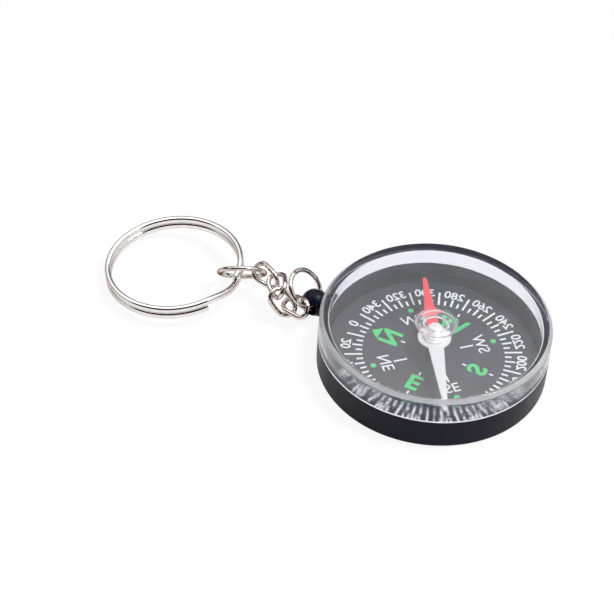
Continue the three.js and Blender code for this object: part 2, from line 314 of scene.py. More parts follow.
def supported(profile, closes):
    """Adds a point near both ends of each long straight run, so that smooth shading stays in the corners."""
    ends = profile[1:] + profile[:1] if closes else profile[1:]
    points = []
    for start, end in zip(profile, ends):
        points.append(start)
        run = math.dist(start, end)
        if run > LONG_RUN:
            for share in (SUPPORT_GAP / run, 1 - SUPPORT_GAP / run):
                points.append(tuple(a + (b - a) * share for a, b in zip(start, end)))
    return points if closes else points + profile[-1:]


def finished_mesh(name, shape, smooth=True):
    """A mesh in metres, facing outwards, from a bmesh in millimetres."""
    bmesh.ops.remove_doubles(shape, verts=shape.verts, dist=WELD_DISTANCE)
    bmesh.ops.recalc_face_normals(shape, faces=shape.faces)
    mesh = bpy.data.meshes.new(name)
    shape.to_mesh(mesh)
    shape.free()
    mesh.transform(Matrix.Scale(MM, 4))
    if smooth:
        mesh.shade_smooth()
        mesh.set_sharp_from_angle(angle=math.radians(SHARP_ANGLE))
    return mesh


def lathe(profile, closes=False, segments=TURN_SEGMENTS):
    """A bmesh of a (radius, height) profile turned about Z."""
    shape = bmesh.new()
    rings = []
    for radius, height in supported(profile, closes):
        if radius < ON_AXIS:
            rings.append([shape.verts.new((0, 0, height))] * segments)
            continue
        angles = [2 * math.pi * i / segments for i in range(segments)]
        rings.append([shape.verts.new((radius * math.cos(a), radius * math.sin(a), height)) for a in angles])
    following = rings[1:] + rings[:1] if closes else rings[1:]
    for ring, other in zip(rings, following):
        for i in range(segments):
            j = (i + 1) % segments
            # A ring on the axis is one point, so each corner is taken once
            corners = list(dict.fromkeys((ring[i], ring[j], other[j], other[i])))
            shape.faces.new(corners)
    return shape


def swept(place, steps, section, loops):
    """A bmesh of a wire. place(t) gives the wire's middle and the direction of its section's height."""
    shape = bmesh.new()
    stations = []
    for i in range(steps if loops else steps + 1):
        t = i / steps
        middle, up = place(t)
        along = (place(t + WIRE_TANGENT)[0] - place(t - WIRE_TANGENT)[0]).normalized()
        stations.append((middle, along, up, 1))
    if not loops:
        stations = chamfered(stations, max(abs(x) for x, _ in section))
    rings = []
    for middle, along, up, share in stations:
        across = along.cross(up).normalized()
        square = across.cross(along)
        rings.append([shape.verts.new(middle + across * x * share + square * y * share) for x, y in section])
    following = rings[1:] + rings[:1] if loops else rings[1:]
    sides = len(section)
    for ring, other in zip(rings, following):
        for i in range(sides):
            j = (i + 1) % sides
            shape.faces.new((ring[i], ring[j], other[j], other[i]))
    if not loops:
        shape.faces.new(rings[0])
        shape.faces.new(rings[-1])
    return shape


def chamfered(stations, half_width):
    """Draws in the two ends of a cut wire."""
    share = 1 - WIRE_END_CHAMFER / half_width
    start, end = stations[0], stations[-1]
    first = (start[0], start[1], start[2], share)
    last = (end[0], end[1], end[2], share)
    inner_start = (start[0] + start[1] * WIRE_END_CHAMFER, start[1], start[2], 1)
    inner_end = (end[0] - end[1] * WIRE_END_CHAMFER, end[1], end[2], 1)
    return [first, inner_start] + stations[1:-1] + [inner_end, last]


def round_section(diameter):
    angles = [2 * math.pi * i / WIRE_SIDES for i in range(WIRE_SIDES)]
    return [(diameter / 2 * math.cos(a), diameter / 2 * math.sin(a)) for a in angles]


def flat_section(width, height, corner):
    """A rectangle with round corners."""
    x, y = width / 2 - corner, height / 2 - corner
    points = []
    for middle, start in (((x, y), 0), ((-x, y), 90), ((-x, -y), 180), ((x, -y), 270)):
        points += arc(middle, corner, start, start + 90)
    return points


def prism(shape, outline, place, depth):
    """Adds a flat solid with a given outline to a bmesh."""
    lower = [shape.verts.new(place @ Vector((x, y, 0))) for x, y in outline]
    upper = [shape.verts.new(place @ Vector((x, y, depth))) for x, y in outline]
    shape.faces.new(lower[::-1])
    shape.faces.new(upper)
    for i in range(len(outline)):
        j = (i + 1) % len(outline)
        shape.faces.new((lower[i], lower[j], upper[j], upper[i]))


def curve_solid(curve):
    """A mesh made from a text or outline curve."""
    maker = bpy.data.objects.new("outline", curve)
    bpy.context.collection.objects.link(maker)
    bpy.context.view_layer.update()
    evaluated = maker.evaluated_get(bpy.context.evaluated_depsgraph_get())
    mesh = bpy.data.meshes.new_from_object(evaluated)
    bpy.data.objects.remove(maker)
    return mesh


def add_piece(name, mesh, materials, body, node=None, place=None):
    """Puts a mesh on a CAD body, in the place of a CAD node if one is named."""
    piece = bpy.data.objects.new(name, mesh)
    bpy.context.collection.objects.link(piece)
    for material in materials:
        mesh.materials.append(material)
    if place is not None:
        mesh.transform(place)
    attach(piece, body)
    if node:
        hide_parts(node)
    return piece


# Materials


def new_material(name, constants):
    """A material whose shader has some constant values, with its node tree and that shader."""
    material = bpy.data.materials.new(name)
    material.use_nodes = True
    tree = material.node_tree
    shader = tree.nodes["Principled BSDF"]
    for socket, value in constants.items():
        shader.inputs[socket].default_value = value
    return material, tree, shader


def noise(tree, grain, detail=4):
    """Noise whose blotches are about grain millimetres across."""
    place = tree.nodes.new("ShaderNodeTexCoord")
    texture = tree.nodes.new("ShaderNodeTexNoise")
    texture.inputs["Scale"].default_value = 1 / (grain * MM)
    texture.inputs["Detail"].default_value = detail
    tree.links.new(place.outputs["Object"], texture.inputs["Vector"])
    return texture.outputs["Fac"]


def blended_colour(tree, share, colours, blend=COLOUR_BLEND):
    ramp = tree.nodes.new("ShaderNodeValToRGB")
    for element, position, colour in zip(ramp.color_ramp.elements, blend, colours):
        element.position = position
        element.color = (*colour, 1)
    tree.links.new(share, ramp.inputs["Fac"])
    return ramp.outputs["Color"]


def blended_value(tree, share, values):
    spread = tree.nodes.new("ShaderNodeMapRange")
    sockets = ("From Min", "From Max", "To Min", "To Max")
    for socket, limit in zip(sockets, (*VALUE_BLEND, *values)):
        spread.inputs[socket].default_value = limit
    tree.links.new(share, spread.inputs["Value"])
    return spread.outputs["Result"]


def bump(tree, shader, height, relief):
    depth, strength = relief
    node = tree.nodes.new("ShaderNodeBump")
    node.inputs["Distance"].default_value = depth * MM
    node.inputs["Strength"].default_value = strength
    tree.links.new(height, node.inputs["Height"])
    tree.links.new(node.outputs["Normal"], shader.inputs["Normal"])


def black_plastic():
    """Moulded plastic, slightly blue, with a fine satin grain and faint cloudy flow marks."""
    material, tree, shader = new_material("moulded_black_plastic", {"Specular IOR Level": PLASTIC_SPECULAR})
    clouds = noise(tree, PLASTIC_CLOUDS)
    grain = noise(tree, PLASTIC_GRAIN, detail=2)
    tree.links.new(blended_colour(tree, clouds, PLASTIC_COLOURS), shader.inputs["Base Color"])
    tree.links.new(blended_value(tree, clouds, PLASTIC_ROUGHNESS), shader.inputs["Roughness"])
    bump(tree, shader, grain, PLASTIC_RELIEF)
    return material


def acrylic(name, clarity, constants):
    """Clear plastic with a faint milky haze. The constants come on top of the plain ones."""
    plain = {"Base Color": (*ACRYLIC_COLOUR, 1), "IOR": ACRYLIC_IOR, "Roughness": ACRYLIC_ROUGHNESS}
    material, tree, shader = new_material(name, plain | constants)
    haze = noise(tree, ACRYLIC_GRAIN)
    tree.links.new(blended_value(tree, haze, clarity), shader.inputs["Transmission Weight"])
    return material, tree, shader


def bevel_acrylic():
    """The bevel, ground matt all round."""
    material, _, _ = acrylic("ground_bevel_acrylic", BEVEL_CLARITY, {"Roughness": BEVEL_ROUGHNESS})
    return material


def handled_acrylic():
    """The flat top and its underside, a little hazy and smeared."""
    material, tree, shader = acrylic("handled_clear_acrylic", PLATE_CLARITY, {})
    smears = noise(tree, ACRYLIC_GRAIN)
    tree.links.new(blended_value(tree, smears, PLATE_ROUGHNESS), shader.inputs["Roughness"])
    return material


def clear_acrylic():
    """The polished side, which shows less glare than the handled faces."""
    glare = {"Specular Tint": (*SIDE_GLARE_TINT, 1)}
    material, _, _ = acrylic("polished_clear_acrylic", SIDE_CLARITY, glare)
    return material


def turned_acrylic():
    """The inner wall, with fine tool marks round it that smear what is seen through them up and down."""
    glare = {"Specular Tint": (*SIDE_GLARE_TINT, 1)}
    material, tree, shader = acrylic("tool_marked_acrylic", WALL_CLARITY, glare)
    place = tree.nodes.new("ShaderNodeTexCoord")
    stretch = tree.nodes.new("ShaderNodeMapping")
    stretch.inputs["Scale"].default_value = (1 / GROOVE_LENGTH, 1 / GROOVE_LENGTH, 1 / GROOVE_PITCH)
    tree.links.new(place.outputs["Object"], stretch.inputs["Vector"])
    marks = tree.nodes.new("ShaderNodeTexNoise")
    marks.inputs["Scale"].default_value = 1 / MM
    marks.inputs["Detail"].default_value = 2
    tree.links.new(stretch.outputs["Vector"], marks.inputs["Vector"])
    bump(tree, shader, marks.outputs["Fac"], GROOVE_RELIEF)
    return material


def moulded_acrylic():
    """The moulded ring under the middle, a little less clear than the polished faces."""
    material, _, _ = acrylic("moulded_ring_acrylic", MOULDED_CLARITY, {"Roughness": MOULDED_ROUGHNESS})
    return material


def card_stock():
    """Matt near-black card with pale dust specks."""
    plain = {"Roughness": CARD_ROUGHNESS, "Specular IOR Level": CARD_SPECULAR}
    material, tree, shader = new_material("dark_printed_card", plain)
    specks = noise(tree, CARD_GRAIN, detail=3)
    colour = blended_colour(tree, specks, CARD_COLOURS, CARD_BLEND)
    dust = colour.node.color_ramp.elements.new(DUST_SHARE)
    dust.color = (*DUST_COLOUR, 1)
    tree.links.new(colour, shader.inputs["Base Color"])
    bump(tree, shader, specks, CARD_RELIEF)
    return material


def ink(name, colours):
    """Screen-printed ink whose cover varies a little."""
    material, tree, shader = new_material(name, {"Roughness": INK_ROUGHNESS})
    cover = noise(tree, INK_GRAIN, detail=3)
    tree.links.new(blended_colour(tree, cover, colours), shader.inputs["Base Color"])
    bump(tree, shader, cover, INK_RELIEF)
    return material


def enamel(name, colours):
    """Paint baked on stamped steel, with a slight orange-peel."""
    material, tree, shader = new_material(name, {})
    peel = noise(tree, ENAMEL_GRAIN, detail=2)
    tree.links.new(blended_colour(tree, peel, colours), shader.inputs["Base Color"])
    tree.links.new(blended_value(tree, peel, ENAMEL_ROUGHNESS), shader.inputs["Roughness"])
    bump(tree, shader, peel, ENAMEL_RELIEF)
    return material


def bright_metal(name, colours, roughness, edge):
    """Plated or turned metal with fine handling marks, darker where it is seen edge on."""
    material, tree, shader = new_material(name, {"Metallic": 1, "Specular Tint": (*edge, 1)})
    marks = noise(tree, METAL_GRAIN, detail=6)
    tree.links.new(blended_colour(tree, marks, colours), shader.inputs["Base Color"])
    tree.links.new(blended_value(tree, marks, roughness), shader.inputs["Roughness"])
    bump(tree, shader, marks, METAL_RELIEF)
    return material


# Cup


def cup_profile():
    foot_radius = CASE_RADIUS - CUP_DRAFT
    step_radius = CAVITY_RADIUS + STEP_WIDTH
    profile = [(0, 0)]
    profile += arc((foot_radius - CUP_FOOT_FILLET, CUP_FOOT_FILLET), CUP_FOOT_FILLET, -90, 0)
    profile += arc((CASE_RADIUS - CUP_RIM_FILLET, SEAM_HEIGHT - CUP_RIM_FILLET), CUP_RIM_FILLET, 0, 90)
    profile += [
        (step_radius, SEAM_HEIGHT),
        (step_radius, SEAM_HEIGHT - STEP_DEPTH),
        (CAVITY_RADIUS, SEAM_HEIGHT - STEP_DEPTH),
        (CAVITY_RADIUS, CUP_FLOOR),
        (POST_DIAMETER / 2, CUP_FLOOR),
        (POST_DIAMETER / 2, CUP_FLOOR + POST_HEIGHT),
        (0, CUP_FLOOR + POST_HEIGHT),
    ]
    return profile


def lug_shape():
    """A round knob on a flared neck, turned about the X axis, with its root kept below the rim."""
    radius, neck = LUG_DIAMETER / 2, LUG_NECK / 2
    root, middle = CASE_RADIUS - LUG_SINK, CASE_RADIUS + LUG_REACH
    wrap = math.asin(neck / radius)
    profile = [(0, -root), (neck + LUG_FLARE, -root)]
    profile += arc((neck + LUG_FLARE, -CASE_RADIUS - LUG_FLARE), LUG_FLARE, 90, 180)
    steps = SMALL_SEGMENTS // 4
    for i in range(steps):
        angle = wrap + (math.pi - wrap) * i / steps
        profile.append((radius * math.sin(angle), radius * math.cos(angle) - middle))
    profile.append((0, -middle - radius))
    shape = lathe(profile, segments=SMALL_SEGMENTS)
    turn = Matrix.Translation((0, 0, LUG_HEIGHT)) @ Matrix.Rotation(math.radians(90), 4, "Y")
    bmesh.ops.transform(shape, matrix=turn, verts=shape.verts)
    for corner in shape.verts:
        if corner.co.x > -CASE_RADIUS - LUG_FLARE:
            corner.co.z = min(corner.co.z, SEAM_HEIGHT - LUG_BELOW_RIM)
    return shape


def lug_hole():
    shape = bmesh.new()
    middle = CASE_RADIUS + LUG_HOLE_REACH
    place = Matrix.Translation((-middle, 0, LUG_HEIGHT)) @ Matrix.Rotation(math.radians(90), 4, "X")
    bmesh.ops.create_cone(
        shape, cap_ends=True, segments=SMALL_SEGMENTS, radius1=LUG_HOLE / 2, radius2=LUG_HOLE / 2,
        depth=2 * LUG_DIAMETER, matrix=place,
    )
    return shape


def cut_or_join(mesh, other, operation):
    """The mesh with another one joined to it or cut from it."""
    piece = bpy.data.objects.new("work", mesh)
    tool = bpy.data.objects.new("tool", other)
    bpy.context.collection.objects.link(piece)
    bpy.context.collection.objects.link(tool)
    change = piece.modifiers.new("change", "BOOLEAN")
    change.operation = operation
    change.solver = "EXACT"
    change.object = tool
    bpy.context.view_layer.update()
    evaluated = piece.evaluated_get(bpy.context.evaluated_depsgraph_get())
    result = bpy.data.meshes.new_from_object(evaluated)
    bpy.data.objects.remove(piece)
    bpy.data.objects.remove(tool)
    return result


def add_cup(plastic):
    mesh = finished_mesh("cup", lathe(cup_profile()))
    mesh = cut_or_join(mesh, finished_mesh("lug", lug_shape()), "UNION")
    mesh = cut_or_join(mesh, finished_mesh("hole", lug_hole()), "DIFFERENCE")
    mesh.shade_smooth()
    mesh.set_sharp_from_angle(angle=math.radians(SHARP_ANGLE))
    mesh.materials.clear()
    add_piece("moulded_cup", mesh, [plastic], "case", "base_case")


# Clear cap


def lens_profile():
    glued_seam = SEAM_HEIGHT - LENS_GLUE_OVERLAP
    open_seam = SEAM_HEIGHT + LENS_SEAM_GAP
    open_radius = CASE_RADIUS - LENS_OPEN_SEAM
    skirt_radius = CAVITY_RADIUS + STEP_WIDTH + LENS_GLUE_OVERLAP
    skirt_foot = SEAM_HEIGHT - STEP_DEPTH - LENS_GLUE_OVERLAP
    boss_foot = LENS_UNDERSIDE - BOSS_HEIGHT
    inner, outer = BOSS_BORE / 2, BOSS_DIAMETER / 2
    profile = [(0, LENS_UNDERSIDE)]
    profile += arc((inner - BOSS_EDGE, LENS_UNDERSIDE - BOSS_EDGE), BOSS_EDGE, 90, 0)
    profile += arc((inner + BOSS_EDGE, boss_foot + BOSS_EDGE), BOSS_EDGE, 180, 270)
    profile += arc((outer - BOSS_EDGE, boss_foot + BOSS_EDGE), BOSS_EDGE, 270, 360)
    profile += arc((outer + BOSS_EDGE, LENS_UNDERSIDE - BOSS_EDGE), BOSS_EDGE, 180, 90)
    fillet = LENS_INNER_FILLET
    profile += arc((CAVITY_RADIUS - fillet, LENS_UNDERSIDE - fillet), fillet, 90, 0)
    profile += [
        (CAVITY_RADIUS, skirt_foot),
        (skirt_radius, skirt_foot),
        (skirt_radius, glued_seam),
        (open_radius, glued_seam),
        (open_radius, open_seam),
        (CASE_RADIUS - LENS_CHAMFER, open_seam),
        (CASE_RADIUS, open_seam + LENS_CHAMFER),
    ]
    side = CASE_RADIUS - LENS_BEVEL_ROUND
    top = OVERALL_HEIGHT - LENS_BEVEL_ROUND
    fall = LENS_BEVEL - LENS_BEVEL_ROUND * (2 - math.sqrt(2))
    profile += arc((side, top - fall), LENS_BEVEL_ROUND, 0, 45)
    profile += arc((side - fall, top), LENS_BEVEL_ROUND, 45, 90)
    profile += [(0, OVERALL_HEIGHT)]
    return profile


def lens_part(face):
    """Which part of the clear cap a face belongs to."""
    radius, height = face.center.xy.length / MM, face.center.z / MM
    slope = abs(face.normal.z)
    if radius < BOSS_DIAMETER / 2 + BOSS_EDGE and height < LENS_UNDERSIDE - SUPPORT_GAP:
        return "moulded_ring"
    if slope < STEEP_BELOW and abs(radius - CAVITY_RADIUS) < SUPPORT_GAP:
        return "inner_wall"
    if slope > LEVEL_ABOVE and height > SEAM_HEIGHT + PLATE_ABOVE_SEAM:
        return "plate"
    if face.normal.z > STEEP_BELOW:
        return "bevel"
    return "side"


def add_lens(materials):
    """The clear cap, with a material for each part. It casts no shadow, so the dial is fully lit."""
    mesh = finished_mesh("lens", lathe(lens_profile()))
    lens = add_piece("clear_cap", mesh, materials.values(), "case", "lens_cover")
    order = list(materials)
    for face in mesh.polygons:
        face.material_index = order.index(lens_part(face))
    lens.visible_shadow = False
    lens.visible_diffuse = False


# Dial


def on_dial(angle, radius):
    """Place on the card at a dial angle, with +Y pointing outwards and +X the reading direction."""
    sense = 1 if MIRRORED else -1
    azimuth = math.radians(NORTH_AZIMUTH + sense * angle)
    outward = Vector((math.cos(azimuth), math.sin(azimuth), 0))
    reading = sense * Vector((-math.sin(azimuth), math.cos(azimuth), 0))
    place = Matrix((reading, outward, (0, 0, 1))).transposed().to_4x4()
    place.translation = outward * radius + Vector((*PRINT_OFFSET, CARD_TOP - INK_SINK))
    return place


def add_bar(shape, angle, start, end, width):
    half = width / 2
    outline = [(-half, start), (half, start), (half, end), (-half, end)]
    prism(shape, outline, on_dial(angle, 0), INK_DEPTH)


def add_dot(shape, angle, radius, diameter):
    turns = [2 * math.pi * i / SMALL_SEGMENTS for i in range(SMALL_SEGMENTS)]
    outline = [(diameter / 2 * math.cos(a), diameter / 2 * math.sin(a)) for a in turns]
    prism(shape, outline, on_dial(angle, radius), INK_DEPTH)


def add_word(shape, word, angle, radius, height, bold):
    """Adds letters whose tops point outwards, centred on a radius of the dial."""
    half_depth = 0.5
    text = bpy.data.curves.new("word", "FONT")
    text.body = word
    text.offset = bold
    text.extrude = half_depth
    mesh = curve_solid(text)
    points = np.array([v.co for v in mesh.vertices])
    low, high = points.min(0), points.max(0)
    scale = height / (high[1] - low[1])
    middle = Vector((low + high) / 2)
    centred = Matrix.Translation((-middle.x, -middle.y, half_depth))
    fit = Matrix.Diagonal((scale, scale, INK_DEPTH, 1)) @ centred
    mesh.transform(on_dial(angle, radius) @ fit)
    shape.from_mesh(mesh)
    bpy.data.meshes.remove(mesh)


def white_print():
    shape = bmesh.new()
    for angle in range(0, 360, TICK_STEP):
        end = SHORT_TICK_END
        if angle % LONG_TICK_STEP == 0:
            end = MEDIUM_TICK_END if angle % NUMBER_STEP == 0 else LONG_TICK_END
        add_bar(shape, angle, TICK_START, end, TICK_WIDTH)
    for angle in range(0, 360, NUMBER_STEP):
        add_word(shape, str(angle), angle, NUMBER_RADIUS, NUMBER_HEIGHT, NUMBER_BOLD)
    for i, word in enumerate(("NE", "SE", "SW", "NW")):
        angle = 45 + 90 * i
        add_word(shape, word, angle, BETWEEN_RADIUS, BETWEEN_HEIGHT, BETWEEN_BOLD)
        add_bar(shape, angle, *BETWEEN_DASH, DASH_WIDTH)
    # At north the arrow takes the place of the outer dash
    for angle in range(0, 360, 90):
        for start, end in CARDINAL_DASHES[:1] if angle == 0 else CARDINAL_DASHES:
            add_bar(shape, angle, start, end, DASH_WIDTH)
    return shape


def green_print():
    shape = bmesh.new()
    for i, letter in enumerate("NESW"):
        add_word(shape, letter, 90 * i, CARDINAL_RADIUS, CARDINAL_HEIGHT, CARDINAL_BOLD)
        add_dot(shape, 45 + 90 * i, DOT_RADIUS, DOT_DIAMETER)
    arrow = [(-ARROW_WIDTH / 2, ARROW_BASE), (ARROW_WIDTH / 2, ARROW_BASE), (0, ARROW_TIP)]
    prism(shape, arrow, on_dial(0, 0), INK_DEPTH)
    return shape


def add_dial(card, white, green):
    inner = POST_DIAMETER / 2 + CARD_FIT
    profile = [(inner, CARD_FOOT), (CARD_RADIUS, CARD_FOOT), (CARD_RADIUS, CARD_TOP), (inner, CARD_TOP)]
    mesh = finished_mesh("card", lathe(profile, closes=True))
    add_piece("dial_face", mesh, [card], "case", "dial_card")
    scale = finished_mesh("scale", white_print(), smooth=False)
    add_piece("dial_scale_white", scale, [white], "case")
    marks = finished_mesh("marks", green_print(), smooth=False)
    add_piece("dial_marks_green", marks, [green], "case")


# Needle


def arc_points(middle_x, radius, start, end):
    """Points of a round stretch whose middle lies on the X axis."""
    steps = range(OUTLINE_STEPS + 1)
    turns = [math.radians(start + (end - start) * i / OUTLINE_STEPS) for i in steps]
    return [(middle_x + radius * math.cos(a), radius * math.sin(a)) for a in turns]


def needle_outline():
    """The blade along X, with the red arm towards +X."""
    hub = HUB_DIAMETER / 2
    red = math.degrees(math.asin(RED_ROOT / HUB_DIAMETER))
    white = math.degrees(math.asin(WHITE_ROOT / HUB_DIAMETER))
    points = arc_points(0, hub, red, 180 - white)
    points += arc_points(WHITE_TIP / 2 - WHITE_REACH, WHITE_TIP / 2, 90, 270)
    points += arc_points(0, hub, 180 + white, 360 - red)
    points += arc_points(RED_REACH - RED_TIP / 2, RED_TIP / 2, -90, 90)
    return points


def add_outline(curve, points):
    spline = curve.splines.new("POLY")
    spline.points.add(len(points) - 1)
    for point, (x, y) in zip(spline.points, points):
        point.co = (x, y, 0, 1)
    spline.use_cyclic_u = True


def blade_curve(thickness):
    """The blade's outline and its hole, as a curve that fills up to a plate with round edges."""
    curve = bpy.data.curves.new("blade", "CURVE")
    curve.dimensions = "2D"
    curve.fill_mode = "BOTH"
    curve.bevel_depth = NEEDLE_BEVEL
    curve.bevel_resolution = NEEDLE_BEVEL_STEPS
    curve.offset = -NEEDLE_BEVEL
    curve.extrude = thickness / 2 - NEEDLE_BEVEL
    add_outline(curve, needle_outline())
    add_outline(curve, arc_points(0, CAP_BODY / 2 + CAP_FIT, 0, NEEDLE_HOLE_SWEEP)[::-1])
    return curve


def blade_shape(low, high):
    """The blade along X, cut across where its first paint, the red, ends and its second begins."""
    plate = curve_solid(blade_curve(high - low))
    shape = bmesh.new()
    shape.from_mesh(plate)
    bpy.data.meshes.remove(plate)
    bmesh.ops.translate(shape, vec=(0, 0, (low + high) / 2), verts=shape.verts)
    everything = shape.verts[:] + shape.edges[:] + shape.faces[:]
    bmesh.ops.bisect_plane(shape, geom=everything, plane_co=(RED_START, 0, 0), plane_no=(1, 0, 0))
    for face in shape.faces:
        face.material_index = 0 if face.calc_center_median().x > RED_START else 1
    return shape


def add_needle(red, white, metal):
    low, high = (p.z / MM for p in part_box("needle_blade"))
    turn = Matrix.Rotation(math.radians(NEEDLE_HEADING), 4, "Z")
    mesh = finished_mesh("blade", blade_shape(low, high))
    add_piece("painted_needle", mesh, [red, white], "needle", "needle_blade", turn)
    add_bearing_cap(metal, high)


def add_bearing_cap(metal, blade_top):
    body = CAP_BODY / 2
    flange = CAP_FLANGE / 2
    top, foot = top_of("needle_cap"), foot_of("needle_cap")
    seat = blade_top + CAP_SEAT_GAP
    flange_top = seat + CAP_FLANGE_THICKNESS
    profile = [(0, top - CAP_ROOF), (CONE_MOUTH / 2, foot), (body, foot), (body, seat), (flange, seat)]
    profile += arc((flange - CAP_FLANGE_EDGE, flange_top - CAP_FLANGE_EDGE), CAP_FLANGE_EDGE, 0, 90)
    profile += [(body, flange_top)]
    profile += arc((body - CAP_EDGE, top - CAP_EDGE), CAP_EDGE, 0, 90)
    profile += [(0, top)]
    mesh = finished_mesh("cap", lathe(profile, segments=SMALL_SEGMENTS))
    add_piece("bearing_cap", mesh, [metal], "needle", "needle_cap")


def dress_pin(metal):
    """The pin keeps its CAD mesh, because hardly any of it shows."""
    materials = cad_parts["pivot_pin"].data.materials
    materials.clear()
    materials.append(metal)


# Chain and rings


def node_points(node):
    """The corners of a CAD node in millimetres, each once."""
    points = np.array([v.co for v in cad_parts[node].data.vertices], float) / MM
    return np.unique(np.round(points, POINT_DECIMALS), axis=0)


def main_axes(points):
    """The middle of a point cloud, and its axes as columns from longest to shortest, right-handed."""
    middle = points.mean(0)
    _, _, rows = np.linalg.svd(points - middle, full_matrices=False)
    axes = rows.T
    if np.linalg.det(axes) < 0:
        axes[:, 2] *= -1
    return middle, axes


def pose(middle, axes):
    place = Matrix(axes.tolist()).to_4x4()
    place.translation = Vector(middle) * MM
    return place


def link_pose(node):
    """A link looks the same after a half turn about any of its axes, so their signs don't matter."""
    return pose(*main_axes(node_points(node)))


def ring_pose(node, cut_of):
    """Pose of a round ring, with +X through its cut."""
    points = node_points(node)
    middle, axes = main_axes(points)
    flat = (points - middle) @ axes
    sums = np.column_stack((2 * flat[:, :2], np.ones(len(flat))))
    centre = np.linalg.lstsq(sums, (flat[:, :2] ** 2).sum(1), rcond=None)[0][:2]
    cut = cut_of(flat[:, :2] - centre)
    turn = np.array([[math.cos(cut), -math.sin(cut), 0], [math.sin(cut), math.cos(cut), 0], [0, 0, 1]])
    middle = middle + axes[:, :2] @ centre
    return pose(middle, axes @ turn)


def stations_round(flat):
    """The angles at which a CAD ring has wire sections, with the number of corners at each."""
    angles = np.round(np.degrees(np.arctan2(flat[:, 1], flat[:, 0])) % 360)
    return np.unique(angles, return_counts=True)


def saw_cut(flat):
    """Angle of a jump ring's cut, where two wire sections lie closest together."""
    angles, _ = stations_round(flat)
    steps = np.diff(np.append(angles, angles[0] + 360))
    i = int(np.argmin(steps))
    return math.radians(angles[i] + steps[i] / 2)


def coil_jog(flat):
    """Angle where the key ring's wire passes from one coil to the other, the only single stretch."""
    angles, counts = stations_round(flat)
    single = np.radians(angles[counts < SINGLE_COIL_SHARE * counts.max()])
    return math.atan2(np.sin(single).sum(), np.cos(single).sum())


def link_shape():
    """One curb link along X: straight sides and round ends, twisted about its length."""
    bend = (LINK_WIDTH - LINK_WIRE) / 2
    straight = (LINK_LENGTH - LINK_WIDTH) / 2
    half_end = math.pi * bend / 2
    perimeter = 4 * (straight + half_end)
    reach = straight + bend

    def flat_point(length):
        end = 1 if length < perimeter / 2 else -1
        run = length % (perimeter / 2) - straight
        if run < 0:
            return end * (run + straight), -end * bend
        if run < 2 * half_end:
            angle = run / bend - math.pi / 2
            return end * (straight + bend * math.cos(angle)), end * bend * math.sin(angle)
        return end * (straight + 2 * half_end - run), end * bend

    def place(t):
        x, y = flat_point(t % 1 * perimeter)
        turn = math.radians(LINK_TWIST) * x / (2 * reach)
        middle = Vector((x, y * math.cos(turn), y * math.sin(turn)))
        return middle, Vector((0, -math.sin(turn), math.cos(turn)))

    return swept(place, LINK_STEPS, round_section(LINK_WIRE), True)


def jump_ring_shape(diameter):
    radius = (diameter - JUMP_WIRE) / 2
    cut = JUMP_CUT / radius

    def place(t):
        angle = cut / 2 + t * (2 * math.pi - cut)
        return Vector((radius * math.cos(angle), radius * math.sin(angle), 0)), Vector((0, 0, 1))

    return swept(place, RING_STEPS, round_section(JUMP_WIRE), False)


def split_ring_shape():
    """One flat wire that runs round nearly twice and steps from the upper coil to the lower one at +X."""
    radius = (SPLIT_DIAMETER - SPLIT_WIRE_WIDTH) / 2
    pitch = SPLIT_WIRE_HEIGHT + SPLIT_COIL_GAP
    coil = 360 - SPLIT_JOG

    def place(t):
        run = t * (360 + coil)
        share = min(max((run - coil) / SPLIT_JOG, 0), 1)
        drop = share * share * (3 - 2 * share)
        angle = math.radians(SPLIT_JOG / 2 + run)
        middle = Vector((radius * math.cos(angle), radius * math.sin(angle), pitch * (0.5 - drop)))
        return middle, Vector((0, 0, 1))

    section = flat_section(SPLIT_WIRE_WIDTH, SPLIT_WIRE_HEIGHT, SPLIT_WIRE_CORNER)
    return swept(place, SPLIT_STEPS, section, False)


def add_chain(chain_nickel, ring_nickel):
    rings = (("case", CASE_JUMP_DIAMETER, "case_ring"), ("key", KEY_JUMP_DIAMETER, "key_side_ring"))
    for ring, diameter, body in rings:
        node = f"{ring}_jump_ring"
        mesh = finished_mesh(node, jump_ring_shape(diameter))
        add_piece(f"{ring}_ring_wire", mesh, [chain_nickel], body, node, ring_pose(node, saw_cut))
    for number in range(1, LINK_COUNT + 1):
        node, body = f"chain_link_{number}", f"link_{number}"
        mesh = finished_mesh(node, link_shape())
        add_piece(f"curb_link_{number}", mesh, [chain_nickel], body, node, link_pose(node))
    mesh = finished_mesh("split_ring", split_ring_shape())
    place = ring_pose("split_ring", coil_jog)
    add_piece("wound_key_ring", mesh, [ring_nickel], "key_ring", "split_ring", place)


# Studio


def larger(tree, first, second):
    node = tree.nodes.new("ShaderNodeMath")
    node.operation = "MAXIMUM"
    tree.links.new(first, node.inputs[0])
    tree.links.new(second, node.inputs[1])
    return node.outputs["Value"]


def plain_rays(tree):
    """1 for rays that show the plain background, to the eye or through glass."""
    path = tree.nodes.new("ShaderNodeLightPath")
    return larger(tree, path.outputs["Is Camera Ray"], path.outputs["Is Transmission Ray"])


def mirrored_rays(tree):
    """1 for rays that show the studio in metal and in polished surfaces."""
    return tree.nodes.new("ShaderNodeLightPath").outputs["Is Glossy Ray"]


def glowing_paper(tree, colour, glow):
    """Paper that shines by itself for a share of what it shows, so that no shadow there is deep."""
    sheet = tree.nodes.new("ShaderNodeBsdfDiffuse")
    sheet.inputs["Color"].default_value = (*colour, 1)
    light = tree.nodes.new("ShaderNodeEmission")
    both = tree.nodes.new("ShaderNodeMixShader")
    both.inputs["Fac"].default_value = glow
    tree.links.new(sheet.outputs["BSDF"], both.inputs[1])
    tree.links.new(light.outputs["Emission"], both.inputs[2])
    return both.outputs["Shader"]


